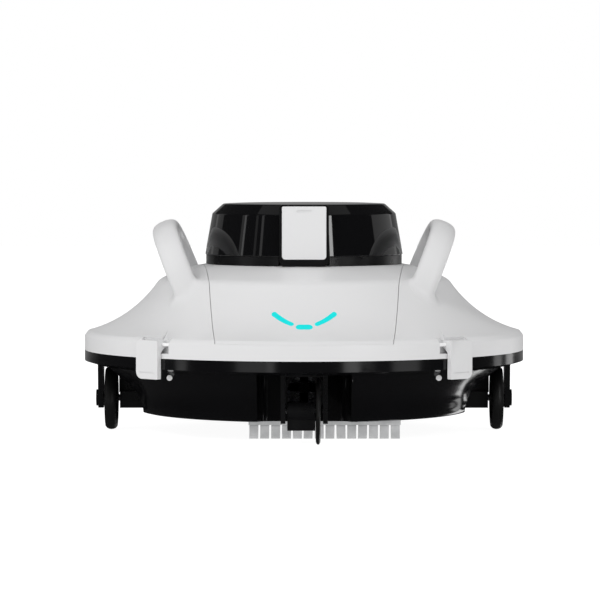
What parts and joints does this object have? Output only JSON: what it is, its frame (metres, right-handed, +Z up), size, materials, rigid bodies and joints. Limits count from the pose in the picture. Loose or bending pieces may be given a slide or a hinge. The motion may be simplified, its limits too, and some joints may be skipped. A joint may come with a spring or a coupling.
{
  "type": "robotic pool cleaner",
  "caption": "Cordless disc-shaped pool cleaner with a flared shell, arched handles, a latched dome lid over a filter, steerable wheels on forks and brush strips.",
  "frame": {"origin": "on the floor under the middle of the body", "axes": "+Z up, -Y towards the front with the status light, +X to the right of someone looking at the front"},
  "size_m": [0.4, 0.4, 0.207],
  "materials": {
    "shell_white": "satin moulded",
    "dome_black": "polished",
    "hull_black": "semi gloss",
    "trim_black": "fine texture",
    "wheel_black": "moulded",
    "latch_white": "satin",
    "brush_clear": "translucent",
    "light_cyan": "lit light guide",
    "steel": "brushed",
    "stud_white": "polished",
    "grey_plastic": "moulded",
    "seal_grey": "soft",
    "mesh_grey": "woven mesh",
    "board_green": "coated",
    "battery_blue": "sleeved",
    "button_grey": "soft touch"
  },
  "bodies": {
    "hull": {"hull_shell": "hull_black", "flange_ring": "hull_black", "base_plate": "hull_black", "wheel_brackets": "trim_black", "axle_tubes": "trim_black", "wheel_axles": "steel", "swivel_bushes": "grey_plastic", "front_brush": "brush_clear", "rear_brush": "brush_clear", "brush_clamps": "grey_plastic", "jet_ducts": "grey_plastic", "jet_nozzles": "trim_black", "front_pump_motor": "steel", "rear_pump_motor": "steel", "suction_risers": "grey_plastic", "battery_pack": "battery_blue", "control_box": "board_green", "hull_gasket": "seal_grey", "sensor_studs": "stud_white", "base_screws": "steel"},
    "housing": {"housing_shell": "shell_white", "front_hood": "shell_white", "rear_hood": "shell_white", "left_handle": "shell_white", "right_handle": "shell_white", "light_guide": "light_cyan", "circuit_boards": "board_green", "lid_seat": "trim_black", "lid_hinge_pin": "steel", "clip_pins": "stud_white", "charge_socket": "trim_black", "button_spring": "steel"},
    "lid": {"dome_lid": "dome_black", "latch_frame": "trim_black", "latch_pin": "steel", "lid_gasket": "seal_grey"},
    "latch": {"lid_latch": "latch_white"},
    "clip_front_left": {"front_left_clip": "shell_white"},
    "clip_front_right": {"front_right_clip": "shell_white"},
    "clip_rear_left": {"rear_left_clip": "shell_white"},
    "clip_rear_right": {"rear_right_clip": "shell_white"},
    "button": {"power_button": "button_grey"},
    "port_cap": {"charge_cap": "button_grey"},
    "basket": {"filter_basket": "grey_plastic", "filter_mesh": "mesh_grey", "flap_pins": "steel"},
    "flap_left": {"left_inlet_flap": "trim_black"},
    "flap_right": {"right_inlet_flap": "trim_black"},
    "wheel_left": {"left_wheel": "wheel_black"},
    "wheel_right": {"right_wheel": "wheel_black"},
    "wheel_front": {"front_wheel": "wheel_black"},
    "wheel_rear": {"rear_wheel": "wheel_black"},
    "fork_front": {"front_fork": "trim_black", "front_wheel_axle": "steel"},
    "fork_rear": {"rear_fork": "trim_black", "rear_wheel_axle": "steel"},
    "paddle_front": {"front_paddle": "trim_black"},
    "paddle_rear": {"rear_paddle": "trim_black"},
    "impeller_front": {"front_impeller": "trim_black"},
    "impeller_rear": {"rear_impeller": "trim_black"}
  },
  "joints": [
    {"name": "housing_lift", "type": "slide", "parent": "hull", "child": "housing", "axis": [0, 0, 1], "range_m": [0, 0.15]},
    {"name": "lid_hinge", "type": "hinge", "parent": "housing", "child": "lid", "pos_m": [0, 0.095, 0.161], "axis": [-1, 0, 0], "range_deg": [0, 85]},
    {"name": "latch_hinge", "type": "hinge", "parent": "lid", "child": "latch", "pos_m": [0, -0.0845, 0.2015], "axis": [-1, 0, 0], "range_deg": [0, 45], "stiffness_Nm_per_rad": 0.02, "springref_deg": -20.05},
    {"name": "clip_front_left_hinge", "type": "hinge", "parent": "housing", "child": "clip_front_left", "pos_m": [-0.13182, -0.1464, 0.0862], "axis": [-0.7431, 0.6691, 0], "range_deg": [0, 85]},
    {"name": "clip_front_right_hinge", "type": "hinge", "parent": "housing", "child": "clip_front_right", "pos_m": [0.13182, -0.1464, 0.0862], "axis": [-0.7431, -0.6691, 0], "range_deg": [0, 85]},
    {"name": "clip_rear_right_hinge", "type": "hinge", "parent": "housing", "child": "clip_rear_right", "pos_m": [0.13182, 0.1464, 0.0862], "axis": [0.7431, -0.6691, 0], "range_deg": [0, 85]},
    {"name": "clip_rear_left_hinge", "type": "hinge", "parent": "housing", "child": "clip_rear_left", "pos_m": [-0.13182, 0.1464, 0.0862], "axis": [0.7431, 0.6691, 0], "range_deg": [0, 85]},
    {"name": "button_press", "type": "slide", "parent": "housing", "child": "button", "axis": [0, 0, -1], "range_m": [0, 0.0015], "stiffness_N_per_m": 400, "springref_m": -0.001, "deforming": ["button_spring"]},
    {"name": "port_cap_hinge", "type": "hinge", "parent": "housing", "child": "port_cap", "pos_m": [-0.042, 0.1228, 0.1484], "axis": [-1, 0, 0], "range_deg": [0, 110]},
    {"name": "basket_lift", "type": "slide", "parent": "hull", "child": "basket", "axis": [0, 0, 1], "range_m": [0, 0.03]},
    {"name": "flap_right_hinge", "type": "hinge", "parent": "basket", "child": "flap_right", "pos_m": [0.023, 0, 0.0682], "axis": [0, -1, 0], "range_deg": [0, 70]},
    {"name": "flap_left_hinge", "type": "hinge", "parent": "basket", "child": "flap_left", "pos_m": [-0.023, 0, 0.0682], "axis": [0, 1, 0], "range_deg": [0, 70]},
    {"name": "wheel_left_spin", "type": "hinge", "parent": "hull", "child": "wheel_left", "pos_m": [-0.176, 0, 0.029], "axis": [1, 0, 0], "continuous": true},
    {"name": "wheel_right_spin", "type": "hinge", "parent": "hull", "child": "wheel_right", "pos_m": [0.176, 0, 0.029], "axis": [1, 0, 0], "continuous": true},
    {"name": "fork_front_swivel", "type": "hinge", "parent": "hull", "child": "fork_front", "pos_m": [0, -0.166, 0.05], "axis": [0, 0, 1], "range_deg": [-25, 25]},
    {"name": "fork_rear_swivel", "type": "hinge", "parent": "hull", "child": "fork_rear", "pos_m": [0, 0.166, 0.05], "axis": [0, 0, 1], "range_deg": [-25, 25]},
    {"name": "wheel_front_spin", "type": "hinge", "parent": "fork_front", "child": "wheel_front", "pos_m": [0.012, -0.166, 0.029], "axis": [1, 0, 0], "continuous": true},
    {"name": "wheel_rear_spin", "type": "hinge", "parent": "fork_rear", "child": "wheel_rear", "pos_m": [-0.012, 0.166, 0.029], "axis": [1, 0, 0], "continuous": true},
    {"name": "paddle_front_swing", "type": "hinge", "parent": "fork_front", "child": "paddle_front", "pos_m": [0, -0.166, 0.029], "axis": [1, 0, 0], "range_deg": [-40, 40]},
    {"name": "paddle_rear_swing", "type": "hinge", "parent": "fork_rear", "child": "paddle_rear", "pos_m": [0, 0.166, 0.029], "axis": [1, 0, 0], "range_deg": [-40, 40]},
    {"name": "impeller_front_spin", "type": "hinge", "parent": "hull", "child": "impeller_front", "pos_m": [0, -0.06, 0.043], "axis": [0, 1, 0], "continuous": true},
    {"name": "impeller_rear_spin", "type": "hinge", "parent": "hull", "child": "impeller_rear", "pos_m": [0, 0.06, 0.043], "axis": [0, 1, 0], "continuous": true}
  ]
}
